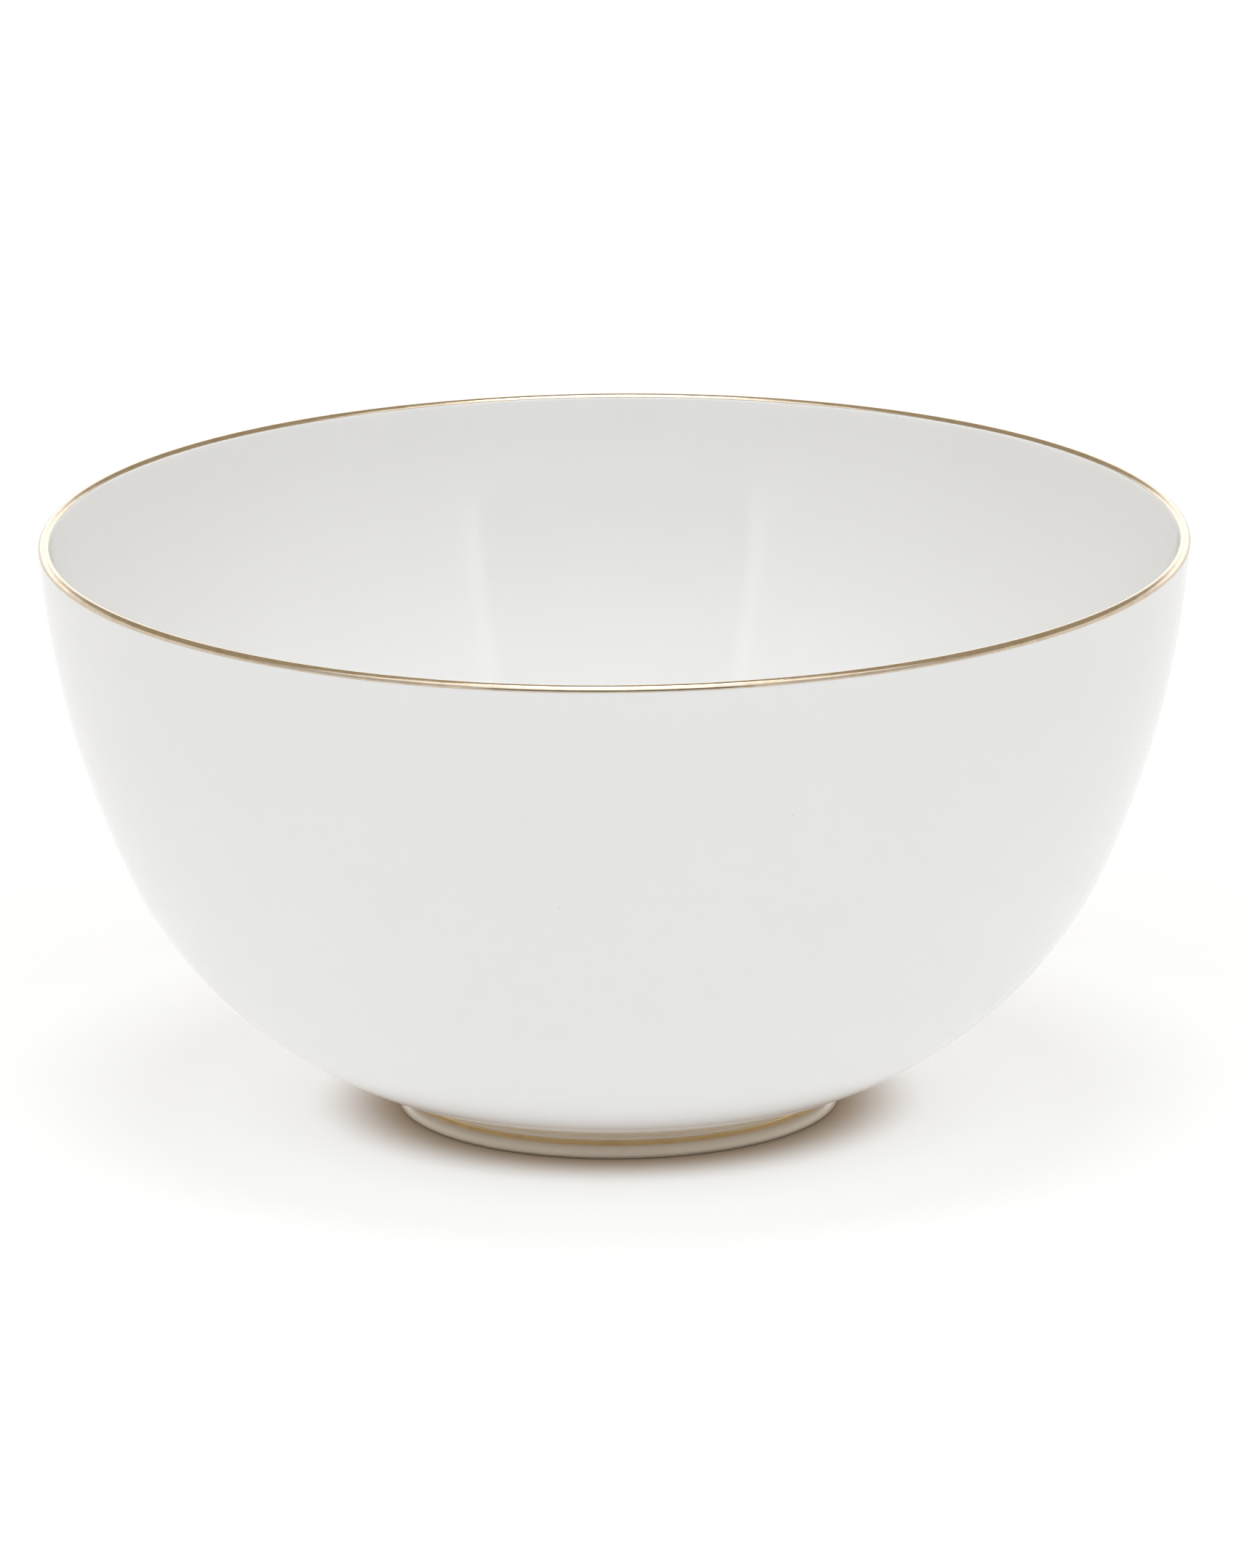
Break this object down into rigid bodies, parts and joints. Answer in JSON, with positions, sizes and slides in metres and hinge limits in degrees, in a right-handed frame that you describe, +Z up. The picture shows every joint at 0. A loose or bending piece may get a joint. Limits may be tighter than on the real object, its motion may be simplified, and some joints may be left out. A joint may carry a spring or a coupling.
{
  "type": "porcelain serving bowl",
  "caption": "Deep round white glazed porcelain serving bowl with a gilded lip, a low rounded foot ring and a gilded groove above the foot.",
  "frame": {"origin": "on the bowl's axis, in the plane that the foot ring stands on", "axes": "+Z up along the bowl's axis of revolution; +X and +Y are any two level directions, since the bowl is round"},
  "size_m": [0.24, 0.24, 0.122],
  "materials": {
    "porcelain": "unglazed fired porcelain, smooth and matte, bare only on the standing rim",
    "slip": "fired slip, matte, hidden inside the foot",
    "glaze": "clear glossy glaze over white porcelain",
    "gold": "burnished gold band, hand banded"
  },
  "bodies": {
    "root": {"bowl_body": "porcelain", "foot_ring": "porcelain", "foot_slip_joint": "slip", "glaze_coat": "glaze", "well_glaze": "glaze", "rim_gilding": "gold", "foot_gilding": "gold"}
  },
  "joints": []
}
